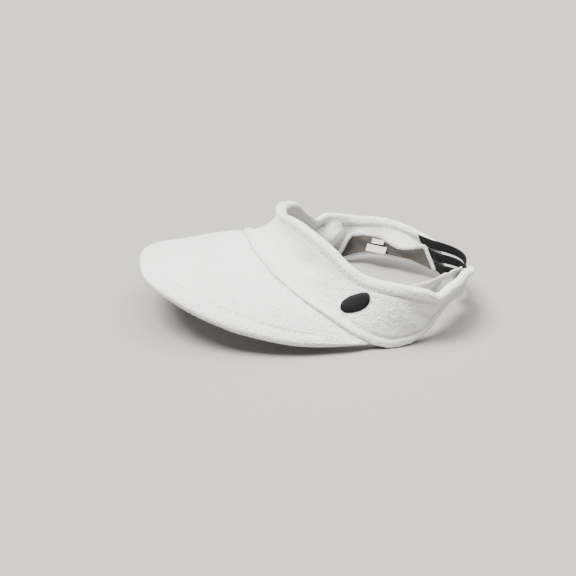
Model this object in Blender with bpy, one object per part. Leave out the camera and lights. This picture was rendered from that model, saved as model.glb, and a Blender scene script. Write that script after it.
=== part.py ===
"""Stretch-back sun visor in white terry cloth, modelled in metres.

The peak points to -Y, the wearer's left is +X and +Z is up.  The origin is under the middle of
the bounding box, on the surface that the visor lies on.  Every piece is its own closed solid.

The crown band is a ruled wall between a bottom edge and a top edge.  A place on it is given by
an angle round the head (0 at the front, positive to the wearer's left, degrees), a rise up the
wall from the bottom edge, and an offset out of the outer face.  A place on the peak is given by
a side (-1 to 1 along the seam), a reach from the seam (0) to the edge (1), and a lift.
"""
import bpy
import bmesh
import numpy as np

# ---- frame ----------------------------------------------------------------------------------
CENTRE_Y = 0.05144         # head centre, forward of which the peak reaches
FLOOR_LIFT = -0.00018      # puts the lowest fold of the band on z = 0
GAP = 0.0003               # clearance between sewn pieces

# ---- crown band: bottom and top edges --------------------------------------------------------
BOTTOM_HALF_WIDTH = 0.0890
BOTTOM_FRONT = 0.0910
BOTTOM_BACK = 0.0900
BOTTOM_FRONT_POWER = 2.5
BOTTOM_BACK_POWER = 2.0
TUCK_IN = 0.0345           # how far the bottom edge is drawn in behind the temples
TUCK_START, TUCK_END = 66.0, 130.0

TOP_HALF_WIDTH = 0.0870
TOP_FRONT = 0.0634
TOP_BACK = 0.0520
TOP_FRONT_POWER = 1.8
TOP_BACK_POWER = 1.9

BAND_ANGLES = (0, 25, 50, 75, 100, 125, 145, 163)
BOTTOM_HEIGHTS = (0.0446, 0.0384, 0.0214, 0.0006, 0.0078, 0.0078, 0.0066, 0.0044)
TOP_HEIGHTS = (0.0640, 0.0576, 0.0420, 0.0374, 0.0328, 0.0328, 0.0300, 0.0268)
BAND_END = 163.0           # where the cloth stops and the elastic takes over
SPLIT = 96.0               # where the side panels start to flex away from the front
SPLIT_GAP = 0.25           # half the cut between front and side pieces, degrees
FRONT_ANGLES = np.linspace(-SPLIT + SPLIT_GAP, SPLIT - SPLIT_GAP, 34)
SIDE_ANGLES = np.linspace(SPLIT + SPLIT_GAP, BAND_END, 13)

# ---- peak ------------------------------------------------------------------------------------
CORNER = 69.0              # angle at which the peak's corners meet the band
PEAK_REACH = 0.0688
PEAK_HALF_WIDTH = 0.0896
PEAK_POWER = 2.55
CORNER_BLEND = 8           # how late the edge turns in towards the corners
PEAK_STATIONS = (0, 0.35, 0.65, 0.85)    # sides at which the edge's heights are given
PEAK_HEIGHTS = (0.0307, 0.0272, 0.0145, 0.0065)
PEAK_SIDE_END = 0.985
BOARD_SIDE_END = 0.88
BOARD_THICK = 0.0015
COVER_THICK = 0.0016
SEAM_CLEAR = 0.0009        # from the band's bottom edge to the peak's covers
TOPSTITCH_INSET = 0.0120
TOPSTITCH_END = 0.80
EDGE_ROUND = 0.0040        # how far in from the edge the covers start to round off
EDGE_ROUND_SHARE = 0.25    # and at most this share of the peak's length
BOARD_INSET = 0.0048       # from the peak's edge to the board's
BOARD_INSET_SHARE = 0.3
BOARD_CLEAR = 0.0010       # how much further from the seam the board starts
ROWS = (0.35, 0.7)         # shares of the peak's length at which its pieces have points

# ---- layers of the band ----------------------------------------------------------------------
TERRY = 0.0018
HEM_HEIGHT = 0.0070
BOTTOM_HEM_HEIGHT = 0.0056
HEM_OUT, HEM_IN = 0.0005, -0.0036
FOLD_START, FOLD_END, FOLD_INSET = 0.0018, 0.0005, 0.0009    # rounding of a hem's folded edge
FOAM_OUT, FOAM_IN = -0.0023, -0.0037
FOAM_LOW, FOAM_DROP = 0.0030, 0.0010     # the foam stops short of the sweatband's edges
FOAM_TRIM = 5              # and this many steps short of the front pieces' ends
SWEAT_OUT, SWEAT_THICK = -0.0044, 0.0012
SWEAT_END_OUT = -0.0058    # the sweatband stands off the outer band at its back ends
SWEAT_LOW = 0.0020
SWEAT_SHARE = 0.64         # height of the sweatband as a share of the wall, at the front
SWEAT_DROP = 0.16          # how much less of the wall it covers at the sides
EDGE_TAPE_HEIGHT = 0.0036
EDGE_TAPE_LAP = 0.0002     # how much thicker the tape is than the sweatband
THREAD = 0.0004            # radius of a sewing thread
SEAM_DROP = 0.0016         # from the top hem to the seam below it
TACK_INSET = 5.0           # from the back ends to the seam through the elastic, degrees
TACK_LOW, TACK_DROP = 0.0012, 0.0030     # that seam stops short of the hems

# ---- elastic, labels and mark ----------------------------------------------------------------
STRAND_WIDTH = 0.0064
STRAND_SLIT = 0.0020
STRAND_THICK = 0.0011
STRAND_OFFSET = -0.0047
STRAND_LOW = 0.0038
STRAND_BULGE = 0.0085     # how far the free elastic bows out behind the band's ends
MARK_ANGLE = 58.0
MARK_LENGTH, MARK_HEIGHT, MARK_THICK = 0.0180, 0.0098, 0.0009
MARK_TILT = 46.0
MARK_SHARE = 0.50          # height of the mark's middle as a share of the wall
MARK_CUT = 0.97            # its tips are cut just short of a point
MARK_BEVEL = 0.9           # height of its face as a share of its base
LABEL_ANGLE = -108.0
LABEL_SPAN = 6.0           # half the angle that the labels lie along
LABEL_SHARE = 0.21         # height of the sewn edge as a share of the wall
LABEL_WIDTH, LABEL_DROP, LABEL_THICK = 0.0180, 0.0052, 0.0005
LABEL_CLEAR = 0.0016       # how far the labels stand off the middle of the curved sweatband
TAB_WIDTH, TAB_HEIGHT = 0.0110, 0.0036
TAB_CLEAR = 0.0012         # the label's edge turns past the tab's

# ---- joints ----------------------------------------------------------------------------------
HINGE_X = 0.0905
HINGE_Y = CENTRE_Y + 0.0094

WHITE = (0.90, 0.90, 0.87)
SHADE = (0.80, 0.79, 0.75)
BLACK = (0.012, 0.012, 0.013)


def through(stations, values, x):
    """Smooth curve through (station, value) pairs, level at the first station."""
    stations = np.asarray(stations, float)
    values = np.asarray(values, float)
    x = np.asarray(x, float)
    slope = np.gradient(values, stations)
    slope[0] = 0.0
    i = np.clip(np.searchsorted(stations, x) - 1, 0, len(stations) - 2)
    span = stations[i + 1] - stations[i]
    t = np.clip((x - stations[i]) / span, 0, 1)
    start = (2 * t**3 - 3 * t**2 + 1) * values[i] + (t**3 - 2 * t**2 + t) * span * slope[i]
    end = (3 * t**2 - 2 * t**3) * values[i + 1] + (t**3 - t**2) * span * slope[i + 1]
    return start + end


def ease(x):
    """0 to 1 with flat ends."""
    x = np.clip(x, 0, 1)
    return x * x * (3 - 2 * x)


def oval(angle, half_width, front, back, front_power, back_power):
    """Head oval seen from above: superelliptic, with its own depth and power at front and back."""
    turn = np.radians(angle)
    c, s = np.cos(turn), np.sin(turn)
    power = np.where(c > 0, front_power, back_power)
    r = (np.abs(c) ** power + np.abs(s) ** power) ** (-1 / power)
    return np.stack([half_width * s * r, -np.where(c > 0, front, back) * c * r], -1)


def band_bottom(angle):
    angle = np.asarray(angle, float)
    plan = oval(angle, BOTTOM_HALF_WIDTH, BOTTOM_FRONT, BOTTOM_BACK,
                BOTTOM_FRONT_POWER, BOTTOM_BACK_POWER)
    tuck = TUCK_IN * ease((np.abs(angle) - TUCK_START) / (TUCK_END - TUCK_START))
    plan = plan * (1 - tuck / np.linalg.norm(plan, axis=-1))[..., None]
    height = through(BAND_ANGLES, BOTTOM_HEIGHTS, np.abs(angle))
    return np.stack([plan[..., 0], plan[..., 1] + CENTRE_Y, height + FLOOR_LIFT], -1)


def band_top(angle):
    angle = np.asarray(angle, float)
    plan = oval(angle, TOP_HALF_WIDTH, TOP_FRONT, TOP_BACK, TOP_FRONT_POWER, TOP_BACK_POWER)
    height = through(BAND_ANGLES, TOP_HEIGHTS, np.abs(angle))
    return np.stack([plan[..., 0], plan[..., 1] + CENTRE_Y, height + FLOOR_LIFT], -1)


def wall_height(angle):
    return float(np.linalg.norm(band_top(angle) - band_bottom(angle)))


def unit(v):
    return v / np.linalg.norm(v)


def band_point(angle, rise, offset):
    """Point of the band at an angle, a rise up the wall and an offset out of its outer face."""
    low, high = band_bottom(angle), band_top(angle)
    share = rise / np.linalg.norm(high - low)
    along = [band_bottom(angle + d) * (1 - share) + band_top(angle + d) * share for d in (-0.5, 0.5)]
    outward = unit(np.cross(along[1] - along[0], high - low))
    return low + (high - low) * share + outward * offset


def band_outward(angle, rise):
    """Way out of the band's outer face."""
    return band_point(angle, rise, 1.0) - band_point(angle, rise, 0.0)


def peak_edge(side):
    """Outer edge of the peak."""
    corner = band_bottom(CORNER)
    front = band_bottom(0.0)
    turn = side * np.pi / 2
    power = 2 / PEAK_POWER
    x = PEAK_HALF_WIDTH * np.sign(turn) * abs(np.sin(turn)) ** power
    y = corner[1] + (front[1] - PEAK_REACH - corner[1]) * abs(np.cos(turn)) ** power
    blend = abs(side) ** CORNER_BLEND
    x = x * (1 - blend) + np.sign(side) * corner[0] * blend
    heights = [h + FLOOR_LIFT for h in PEAK_HEIGHTS] + [corner[2]]
    return np.array([x, y, through(PEAK_STATIONS + (1.0,), heights, abs(side))])


def peak_length(side):
    return float(np.linalg.norm(peak_edge(side) - band_bottom(side * CORNER)))


def peak_base(side, reach):
    return band_bottom(side * CORNER) * (1 - reach) + peak_edge(side) * reach


def peak_point(side, distance, lift):
    """Point of the peak at a distance from the seam and a lift out of its middle surface."""
    length = peak_length(side)
    reach = distance / length
    across = peak_base(side + 0.004, reach) - peak_base(side - 0.004, reach)
    outward = peak_edge(side) - band_bottom(side * CORNER)
    return peak_base(side, reach) + unit(np.cross(outward, across)) * lift


# ---- making solids ---------------------------------------------------------------------------
def material(name, colour, roughness):
    mat = bpy.data.materials.get(name)
    if mat is None:
        mat = bpy.data.materials.new(name)
        mat.use_nodes = True
        shader = mat.node_tree.nodes["Principled BSDF"]
        shader.inputs["Base Color"].default_value = (*colour, 1)
        shader.inputs["Roughness"].default_value = roughness
        shader.inputs["Metallic"].default_value = 0.0
    return mat


def add_object(name, bm, mat, origin=(0, 0, 0)):
    """Make an object from bm, with its own origin, shaded smooth up to 40 degrees."""
    bmesh.ops.recalc_face_normals(bm, faces=bm.faces)
    bmesh.ops.translate(bm, verts=bm.verts, vec=[-c for c in origin])
    mesh = bpy.data.meshes.new(name)
    bm.to_mesh(mesh)
    bm.free()
    mesh.materials.append(mat)
    mesh.shade_smooth()
    mesh.set_sharp_from_angle(angle=np.radians(40))
    obj = bpy.data.objects.new(name, mesh)
    bpy.context.scene.collection.objects.link(obj)
    obj.location = origin
    return obj


def skin(bm, rings):
    """Close a body through equal rings of points, with a cap at each end."""
    loops = [[bm.verts.new(p) for p in ring] for ring in rings]
    count = len(loops[0])
    for near, far in zip(loops, loops[1:]):
        for i in range(count):
            j = (i + 1) % count
            bm.faces.new((near[i], near[j], far[j], far[i]))
    bm.faces.new(loops[0])
    bm.faces.new(loops[-1])


def loft(name, rings, mat, origin=(0, 0, 0)):
    bm = bmesh.new()
    skin(bm, rings)
    return add_object(name, bm, mat, origin)


def band_strip(name, angles, section, mat, origin=(0, 0, 0)):
    """Sweep section(angle), a list of (rise, offset), round the band."""
    rings = [[band_point(a, rise, offset) for rise, offset in section(a)] for a in angles]
    return loft(name, rings, mat, origin)


def thread_ring(path, i, normal, radius):
    """Square cross-section of a thread at path[i]."""
    ahead = path[min(i + 1, len(path) - 1)] - path[max(i - 1, 0)]
    side = unit(np.cross(ahead, normal))
    up = unit(np.cross(side, ahead))
    return [path[i] + radius * (side * a + up * b) for a, b in ((1, 1), (-1, 1), (-1, -1), (1, -1))]


def thread(name, path, normals, mat, origin=(0, 0, 0)):
    rings = [thread_ring(path, i, n, THREAD) for i, n in enumerate(normals)]
    return loft(name, rings, mat, origin)


# ---- cross-sections of the band's layers ------------------------------------------------------
def slab(low, high, outer, inner):
    """Flat layer between two rises and two offsets, with points between so that it follows the wall."""
    rises = np.linspace(low, high, 5)
    return [(r, outer) for r in rises] + [(r, inner) for r in reversed(rises)]


def outer_section(angle):
    """Terry cloth, rounded over at the bottom fold and ending under the hem."""
    high = wall_height(angle) - HEM_HEIGHT - GAP
    if abs(angle) > SPLIT:
        return slab(BOTTOM_HEM_HEIGHT + GAP, high, 0.0, -TERRY)
    return slab(TERRY / 3, high, 0.0, -TERRY) + [(0.0, -TERRY / 2)]


def hem_section(angle):
    """Folded top hem: flat sides, round top."""
    top = wall_height(angle)
    low = top - HEM_HEIGHT
    mid = (HEM_OUT + HEM_IN) / 2
    return [(low, HEM_OUT), (top - FOLD_START, HEM_OUT), (top - FOLD_END, HEM_OUT - FOLD_INSET),
            (top, mid), (top - FOLD_END, HEM_IN + FOLD_INSET), (top - FOLD_START, HEM_IN), (low, HEM_IN)]


def bottom_hem_section(angle):
    """Folded bottom hem of a side panel: flat sides, round bottom."""
    mid = (HEM_OUT + HEM_IN) / 2
    high = BOTTOM_HEM_HEIGHT
    return [(high, HEM_IN), (FOLD_START, HEM_IN), (FOLD_END, HEM_IN + FOLD_INSET), (0.0, mid),
            (FOLD_END, HEM_OUT - FOLD_INSET), (FOLD_START, HEM_OUT), (high, HEM_OUT)]


def sweat_height(angle):
    return wall_height(angle) * (SWEAT_SHARE - SWEAT_DROP * ease((abs(angle) - 50) / 50))


def foam_section(angle):
    return slab(FOAM_LOW, sweat_height(angle) - FOAM_DROP, FOAM_OUT, FOAM_IN)


def sweat_offset(angle):
    """Outer face of the sweatband, which stands off more towards the back ends."""
    return SWEAT_OUT + (SWEAT_END_OUT - SWEAT_OUT) * ease((abs(angle) - SPLIT) / (BAND_END - 20 - SPLIT))


def sweat_section(angle):
    out = sweat_offset(angle)
    return slab(SWEAT_LOW, sweat_height(angle), out, out - SWEAT_THICK)


def tape_section(angle):
    """Narrow tape that binds the sweatband's free top edge."""
    low = sweat_height(angle) + GAP
    high = low + EDGE_TAPE_HEIGHT
    out = sweat_offset(angle)
    inner = out - SWEAT_THICK - EDGE_TAPE_LAP
    return [(low, out), (high, out), (high, inner), (low, inner)]


# ---- pieces ------------------------------------------------------------------------------------
def make_band(mat_terry, mat_foam, mat_sweat, mat_thread):
    """Front pieces, then the same pieces for each side, whose origins are on the flex hinge."""
    band_strip("front_panel", FRONT_ANGLES, outer_section, mat_terry)
    band_strip("front_top_hem", FRONT_ANGLES, hem_section, mat_terry)
    band_strip("front_foam", FRONT_ANGLES[FOAM_TRIM:-FOAM_TRIM], foam_section, mat_foam)
    band_strip("front_sweatband", FRONT_ANGLES, sweat_section, mat_sweat)
    band_strip("front_sweatband_tape", FRONT_ANGLES, tape_section, mat_sweat)
    hem_seam("front_hem_stitching", FRONT_ANGLES, mat_thread)
    for side, sign in (("left", 1), ("right", -1)):
        origin = (sign * HINGE_X, HINGE_Y, 0.0)
        angles = sign * SIDE_ANGLES
        sections = (("side_panel", outer_section, mat_terry), ("top_hem", hem_section, mat_terry),
                    ("bottom_hem", bottom_hem_section, mat_terry),
                    ("sweatband", sweat_section, mat_sweat), ("sweatband_tape", tape_section, mat_sweat))
        for name, section, mat in sections:
            band_strip(f"{side}_{name}", angles, section, mat, origin)
        hem_seam(f"{side}_hem_stitching", angles, mat_thread, origin)
        end_tack(f"{side}_end_tack", sign, mat_thread, origin)


def hem_seam(name, angles, mat, origin=(0, 0, 0)):
    """Row of stitching just below the top hem."""
    rises = [wall_height(a) - HEM_HEIGHT - SEAM_DROP for a in angles]
    path = [band_point(a, r, GAP + THREAD) for a, r in zip(angles, rises)]
    normals = [band_outward(a, r) for a, r in zip(angles, rises)]
    thread(name, path, normals, mat, origin)


def end_tack(name, sign, mat, origin):
    """Row of stitching up the back end of a side panel, through the elastic."""
    angle = sign * (BAND_END - TACK_INSET)
    top = wall_height(angle) - HEM_HEIGHT - TACK_DROP
    rises = np.linspace(BOTTOM_HEM_HEIGHT + TACK_LOW, top, 4)
    path = [band_point(angle, r, GAP + THREAD) for r in rises]
    normals = [band_outward(angle, r) for r in rises]
    thread(name, path, normals, mat, origin)


def cover_rings(sign):
    """Rings of the cloth above (sign 1) or below (sign -1) the board."""
    rings = []
    for side in np.linspace(-PEAK_SIDE_END, PEAK_SIDE_END, 37):
        length = peak_length(side)
        inset = min(EDGE_ROUND, EDGE_ROUND_SHARE * length)
        rows = [length * share for share in ROWS]
        flat = BOARD_THICK / 2 + GAP
        full = flat + COVER_THICK
        outer = [(SEAM_CLEAR, full), (rows[0], full), (rows[1], full), (length - inset, full),
                 (length - inset * 0.4, full * 0.72), (length, GAP)]
        inner = [(length, GAP / 2), (length - inset * 0.7, GAP / 2), (length - inset, flat),
                 (rows[1], flat), (rows[0], flat), (SEAM_CLEAR, flat)]
        rings.append([peak_point(side, d, sign * lift) for d, lift in outer + inner])
    return rings


def make_peak(mat_terry, mat_board, mat_thread):
    loft("peak_top_cover", cover_rings(1), mat_terry)
    loft("peak_under_cover", cover_rings(-1), mat_terry)
    rings = []
    for side in np.linspace(-BOARD_SIDE_END, BOARD_SIDE_END, 33):
        length = peak_length(side)
        inset = min(BOARD_INSET, BOARD_INSET_SHARE * length)
        ends = (SEAM_CLEAR + BOARD_CLEAR, length * ROWS[0], length * ROWS[1], length - inset)
        half = BOARD_THICK / 2
        ring = [peak_point(side, d, half) for d in ends]
        rings.append(ring + [peak_point(side, d, -half) for d in reversed(ends)])
    loft("peak_board", rings, mat_board)
    lift = BOARD_THICK / 2 + GAP + COVER_THICK
    sides = np.linspace(-TOPSTITCH_END, TOPSTITCH_END, 33)
    insets = [peak_length(s) - TOPSTITCH_INSET for s in sides]
    path = [peak_point(s, d, lift + GAP + THREAD) for s, d in zip(sides, insets)]
    normals = [peak_point(s, d, 1.0) - peak_point(s, d, 0.0) for s, d in zip(sides, insets)]
    thread("peak_topstitching", path, normals, mat_thread)


def strand_rings(low):
    """One elastic strand: sewn end, free stretch across the back, sewn end."""
    corners = [(low, 1), (low + STRAND_WIDTH, 1), (low + STRAND_WIDTH, -1), (low, -1)]
    half = STRAND_THICK / 2

    def section(angle):
        return np.array([band_point(angle, r, STRAND_OFFSET + s * half) for r, s in corners])

    ends = [section(a) for a in SIDE_ANGLES[-3:]]
    last = ends[-1]
    arc = []
    for t in np.linspace(1, -1, 17)[1:-1]:
        ring = last.copy()
        ring[:, 0] = last[:, 0] * t
        ring[:, 1] = last[:, 1] + STRAND_BULGE * (1 - t * t)
        arc.append(ring)
    flip = np.array([-1, 1, 1])
    return ends + arc + [ring * flip for ring in reversed(ends)]


def make_elastic(mat):
    for i, name in enumerate(("lower", "middle", "upper")):
        low = STRAND_LOW + i * (STRAND_WIDTH + STRAND_SLIT)
        loft(f"elastic_{name}", strand_rings(low), mat)


def make_mark(mat):
    """Plain slanted lozenge of satin stitch on the wearer's left temple."""
    centre_rise = wall_height(MARK_ANGLE) * MARK_SHARE
    tilt = np.radians(MARK_TILT)
    arc = np.linalg.norm(band_point(MARK_ANGLE + 1, centre_rise, 0) - band_point(MARK_ANGLE, centre_rise, 0))

    def place(x, y, offset):
        across = x * np.cos(tilt) - y * np.sin(tilt)
        up = x * np.sin(tilt) + y * np.cos(tilt)
        return band_point(MARK_ANGLE + across / arc, centre_rise + up, offset)

    rings = []
    for t in np.linspace(-MARK_CUT, MARK_CUT, 9):
        x = t * MARK_LENGTH / 2
        half = MARK_HEIGHT / 2 * (1 - abs(t) ** 3) ** (1 / 3)
        face = half * MARK_BEVEL
        rings.append([place(x, -half, GAP), place(x, half, GAP),
                      place(x, face, GAP + MARK_THICK), place(x, -face, GAP + MARK_THICK)])
    loft("side_mark", rings, mat)


def label_frame():
    """Where the care label is sewn: middle of its top edge, and its right, down and inward ways."""
    high = wall_height(LABEL_ANGLE) * LABEL_SHARE
    face = sweat_offset(LABEL_ANGLE) - SWEAT_THICK
    top = band_point(LABEL_ANGLE, high, face)
    near = band_point(LABEL_ANGLE - LABEL_SPAN, high, face)
    far = band_point(LABEL_ANGLE + LABEL_SPAN, high, face)
    right = unit(near - far)
    inward = -band_outward(LABEL_ANGLE, high)
    return top, right, unit(np.cross(right, inward)), inward


def plate(name, centre, right, down, inward, width, drop, mat, origin=(0, 0, 0)):
    """Flat label hanging from the middle of its top edge."""
    rings = []
    for across in (-width / 2, width / 2):
        base = centre + right * across
        rings.append([base, base + down * drop, base + down * drop + inward * LABEL_THICK,
                      base + inward * LABEL_THICK])
    loft(name, rings, mat, origin)


def make_labels(mat):
    top, right, down, inward = label_frame()
    hinge = top + inward * LABEL_CLEAR
    plate("care_label", hinge, right, down, inward, LABEL_WIDTH, LABEL_DROP, mat, tuple(hinge))
    tab = hinge + inward * GAP - down * (TAB_HEIGHT + TAB_CLEAR)
    origin = (-HINGE_X, HINGE_Y, 0.0)
    plate("size_tab", tab, right, down, inward, TAB_WIDTH, TAB_HEIGHT, mat, origin)


def main():
    for obj in list(bpy.data.objects):
        bpy.data.objects.remove(obj)
    terry = material("white_terry", WHITE, 0.95)
    foam = material("foam", SHADE, 0.9)
    sweat = material("sweatband_cloth", SHADE, 0.9)
    sewing = material("white_thread", WHITE, 0.7)
    board = material("board_plastic", SHADE, 0.5)
    make_band(terry, foam, sweat, sewing)
    make_peak(terry, board, sewing)
    make_elastic(material("black_elastic", BLACK, 0.8))
    make_mark(material("black_embroidery", BLACK, 0.5))
    make_labels(material("label_cloth", WHITE, 0.6))


main()
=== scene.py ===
"""Looks of the stretch-back terry sun visor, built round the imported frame, in metres.

The peak points to -Y, the wearer's left is +X.  A place on the crown band is an angle round the
head in degrees (0 at the front, positive to the left), a rise up the wall and an offset out of
its outer face.  A place on the peak is a side (-1 to 1), a distance from the seam and a lift.
"""

import bmesh
import bpy
import numpy as np
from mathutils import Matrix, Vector


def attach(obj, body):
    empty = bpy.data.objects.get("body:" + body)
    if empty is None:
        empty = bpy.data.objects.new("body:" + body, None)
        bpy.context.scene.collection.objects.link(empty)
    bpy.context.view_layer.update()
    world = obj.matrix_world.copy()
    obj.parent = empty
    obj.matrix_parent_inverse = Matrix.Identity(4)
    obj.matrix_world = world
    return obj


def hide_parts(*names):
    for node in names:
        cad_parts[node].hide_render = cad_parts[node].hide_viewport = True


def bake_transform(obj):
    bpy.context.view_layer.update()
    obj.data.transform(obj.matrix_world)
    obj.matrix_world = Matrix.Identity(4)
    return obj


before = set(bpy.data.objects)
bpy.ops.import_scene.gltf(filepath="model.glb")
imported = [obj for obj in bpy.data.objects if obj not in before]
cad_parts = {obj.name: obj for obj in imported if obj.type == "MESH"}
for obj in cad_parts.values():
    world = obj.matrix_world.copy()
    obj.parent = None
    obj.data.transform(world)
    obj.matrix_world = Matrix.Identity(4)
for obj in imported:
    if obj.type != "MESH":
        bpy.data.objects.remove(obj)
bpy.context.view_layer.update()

# ---- the same driving sizes as the CAD ----------------------------------------------------------
CENTRE_Y = 0.05144
FLOOR_LIFT = -0.00018
BAND_ANGLES = (0, 25, 50, 75, 100, 125, 145, 163)
BOTTOM_HEIGHTS = (0.0446, 0.0384, 0.0214, 0.0006, 0.0078, 0.0078, 0.0066, 0.0044)
TOP_HEIGHTS = (0.0640, 0.0576, 0.0420, 0.0374, 0.0328, 0.0328, 0.0300, 0.0268)
BOTTOM_OVAL = (0.0890, 0.0910, 0.0900, 2.5, 2.0)   # half width, front, back, powers
TOP_OVAL = (0.0870, 0.0634, 0.0520, 1.8, 1.9)
TUCK_IN, TUCK_START, TUCK_END = 0.0345, 66.0, 130.0
BAND_END = 163.0
CORNER = 69.0
PEAK_REACH, PEAK_HALF_WIDTH, PEAK_POWER = 0.0688, 0.0896, 2.55
PEAK_STATIONS = (0, 0.35, 0.65, 0.85)
PEAK_HEIGHTS = (0.0307, 0.0272, 0.0145, 0.0065)
HALF_PEAK = 0.00265        # half the peak's thickness
HEM = 0.0070               # height of the top hem
BOTTOM_HEM = 0.0056
TOPSTITCH_INSET = 0.0120
STRAND_WIDTH, STRAND_SLIT, STRAND_THICK = 0.0064, 0.0020, 0.0011
STRAND_LOW, STRAND_OFFSET, STRAND_BULGE = 0.0038, -0.0047, 0.0085
LAP = 0.0127               # how far the halves of a strand reach past the middle
POCKET_START = 147.0       # where the elastic's sewn ends begin

# ---- cloth --------------------------------------------------------------------------------------
LOOP = 0.0013              # size of a terry loop
PILE = 0.00027             # how far the loops stand out and in
CELL = 0.00078             # spacing of the cloth meshes
COARSE = 0.0015            # spacing of meshes that are hardly seen
CUT = -62.0                # hidden join of the band's two pieces, on the right of the front
SWEAT_THICK = 0.0009
TAPE_RADIUS = 0.0011
FACE_SPAN = 0.037          # about the tallest wall; sets how many points the band's face has
SEWN_LOW = 0.0016          # rise of the sweatband's bottom seam
SWEAT_ENDS = (("left", 160.5), ("right", -153.5))      # angles where the sweatband stops
SEAM_END = 161.0           # angle where the hem stitches stop
TACK_ANGLE = 158.6         # angle of the stitches up the back ends
LOW_SEAM_START = 72.0      # angle where the bottom hem's stitches start
SEAM_SINK = 0.0002         # how deep the stitches lie in the cloth
OUTWARD_STEP = 0.01        # a step that gives a direction

# ---- mark and labels ----------------------------------------------------------------------------
MARK_ANGLE, MARK_SHARE = 59.0, 0.49        # place round the band, and up the wall as a share
MARK_LENGTH, MARK_TALL, MARK_TILT = 0.0180, 0.0092, np.radians(46)
MARK_SLANT = 0.35          # how far the satin threads lean
MARK_THREADS, MARK_THREAD = 44, 0.00030    # number of threads, and their radius
RIBBON_SHARE = 0.92        # width of a ribbon as a share of its CAD label's
RIBBON_BOW = 0.0036        # its ends bow inwards, off the sweatband, by a quarter of this
RIBBON_CLEAR = 0.0002
RIBBON_WAVE = 0.00018
RIBBON_HALF = 0.00013      # half its thickness

# ---- stage and camera ---------------------------------------------------------------------------
FLOOR_FLAT, FLOOR_END, FLOOR_RIM = 8.0, 20.0, 0.6      # radii and height of the floor's curve
FLOOR_SIDES = 96
LAMPS = (("key", (0.10, -0.55, 1.20), 0.55, 8.5),      # name, where it shines from, spread, strength
         ("top", (0.05, 0.30, 1.30), 1.2, 5.0))
VIEW_AZIMUTH, VIEW_ELEVATION, VIEW_DISTANCE = 79.2, 19.5, 0.5184
VIEW_TARGET = (0.0054, CENTRE_Y - 0.0663, 0.0117)

QUICK_CELLS = 1.0


# ---- curves, as in the CAD ----------------------------------------------------------------------
def through(stations, values, x):
    """Smooth curve through (station, value) pairs, level at the first station."""
    stations, values = np.asarray(stations, float), np.asarray(values, float)
    x = np.asarray(x, float)
    slope = np.gradient(values, stations)
    slope[0] = 0.0
    i = np.clip(np.searchsorted(stations, x) - 1, 0, len(stations) - 2)
    span = stations[i + 1] - stations[i]
    t = np.clip((x - stations[i]) / span, 0, 1)
    start = (2 * t**3 - 3 * t**2 + 1) * values[i] + (t**3 - 2 * t**2 + t) * span * slope[i]
    end = (3 * t**2 - 2 * t**3) * values[i + 1] + (t**3 - t**2) * span * slope[i + 1]
    return start + end


def ease(x):
    x = np.clip(x, 0, 1)
    return x * x * (3 - 2 * x)


def bell(x):
    return np.exp(-np.square(x))


def unit(v):
    return v / np.linalg.norm(v, axis=-1, keepdims=True)


def oval(angle, half_width, front, back, front_power, back_power):
    turn = np.radians(angle)
    c, s = np.cos(turn), np.sin(turn)
    power = np.where(c > 0, front_power, back_power)
    r = (np.abs(c) ** power + np.abs(s) ** power) ** (-1 / power)
    return np.stack([half_width * s * r, -np.where(c > 0, front, back) * c * r], -1)


def on_ring(plan, heights, angle):
    height = through(BAND_ANGLES, heights, np.abs(angle)) + FLOOR_LIFT
    return np.stack([plan[..., 0], plan[..., 1] + CENTRE_Y, height], -1)


def band_bottom(angle):
    plan = oval(angle, *BOTTOM_OVAL)
    tuck = TUCK_IN * ease((np.abs(angle) - TUCK_START) / (TUCK_END - TUCK_START))
    plan = plan * (1 - tuck / np.linalg.norm(plan, axis=-1))[..., None]
    return on_ring(plan, BOTTOM_HEIGHTS, angle)


def band_top(angle):
    return on_ring(oval(angle, *TOP_OVAL), TOP_HEIGHTS, angle)


def wall_height(angle):
    return np.linalg.norm(band_top(angle) - band_bottom(angle), axis=-1)


def slump(angle, share):
    """How far the soft band leaves the CAD wall, outwards: sag, dents, folds and slow waves."""
    side = np.abs(angle)
    sag = -0.0036 * np.sin(np.pi * np.clip(share, 0, 1)) * ease((78 - side) / 45)
    nose = (0.0014 * bell((side - 19) / 9) - 0.0024 * bell(angle / 10)) * ease((share - 0.5) / 0.5)
    lip = 0.0036 * bell((share - 0.86) / 0.12) * ease((64 - side) / 30)
    dents = -0.0034 * bell((angle - 34) / 5.5) * bell((share - 0.54) / 0.14)
    dents += 0.0008 * bell((angle - 43) / 4) * bell((share - 0.55) / 0.14)
    dents += -0.0012 * bell((angle + 28) / 7) * bell((share - 0.45) / 0.2)
    dents += -0.0009 * bell((angle - 12) / 5) * bell((share - 0.60) / 0.18)
    lean = 26 * (share - 0.5)
    crease = -0.0017 * bell((angle - 88 + lean) / 3.4) * bell((share - 0.42) / 0.3)
    crease += 0.0010 * bell((angle - 80 + lean) / 4.0) * bell((share - 0.40) / 0.3)
    crease += -0.0013 * bell((angle - 103 - 14 * (share - 0.5)) / 3.4) * bell((share - 0.5) / 0.30)
    crease += -0.0012 * bell((angle - 124 + lean) / 3.6) * bell((share - 0.5) / 0.26)
    crease += -0.0014 * bell((angle + 96 - 20 * (share - 0.5)) / 3.8) * bell((share - 0.4) / 0.3)
    crease += 0.0008 * bell((angle + 108) / 5.0) * bell((share - 0.5) / 0.3)
    pillow = -0.0030 * bell((angle + 77) / 7.0) * bell((share - 0.60) / 0.27)
    waves = 0.0007 * np.sin(side * 0.145 + 2.2 * share + 0.9 * np.sign(angle)) * ease((side - 60) / 40)
    return sag + nose + lip + dents + crease + pillow + waves


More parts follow.
